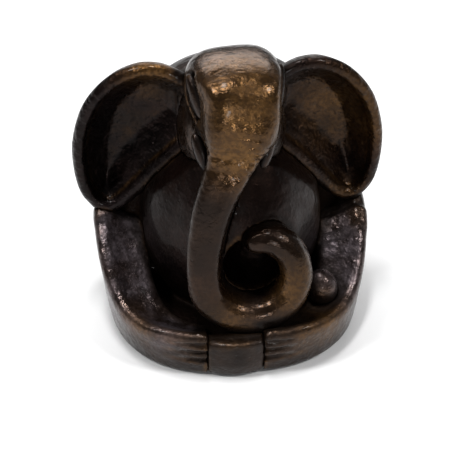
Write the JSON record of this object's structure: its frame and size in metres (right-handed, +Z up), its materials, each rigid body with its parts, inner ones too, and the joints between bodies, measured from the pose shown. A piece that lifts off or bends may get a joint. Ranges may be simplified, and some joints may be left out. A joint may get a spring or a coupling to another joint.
{
  "type": "deity figurine",
  "caption": "Low round cast figurine of a seated elephant-headed deity, trunk curled up in front and arms wrapped round the base.",
  "frame": {"origin": "middle of the footprint, on the surface that the figurine stands on", "axes": "+Z up, the face looks along -Y, +X is to the right of someone who faces the figure"},
  "size_m": [0.0879, 0.0762, 0.0862],
  "materials": {
    "body_bronze": "dark glossy patina",
    "head_bronze": "worn golden-brown glossy patina",
    "ear_bronze": "dark hammered patina",
    "arm_bronze": "brown patina with a purple-grey sheen",
    "recess_bronze": "dark glossy patina",
    "plate_metal": "dull sheet",
    "felt": "felt"
  },
  "bodies": {
    "root": {"body": "body_bronze", "head_and_trunk": "head_bronze", "left_ear": "ear_bronze", "right_ear": "ear_bronze", "left_eye": "recess_bronze", "right_eye": "recess_bronze", "left_tusk": "recess_bronze", "right_tusk": "recess_bronze", "left_arm": "arm_bronze", "right_arm": "arm_bronze", "front_block": "arm_bronze", "sweet_ball": "arm_bronze", "base_plate": "plate_metal", "felt_pad": "felt"}
  },
  "joints": []
}
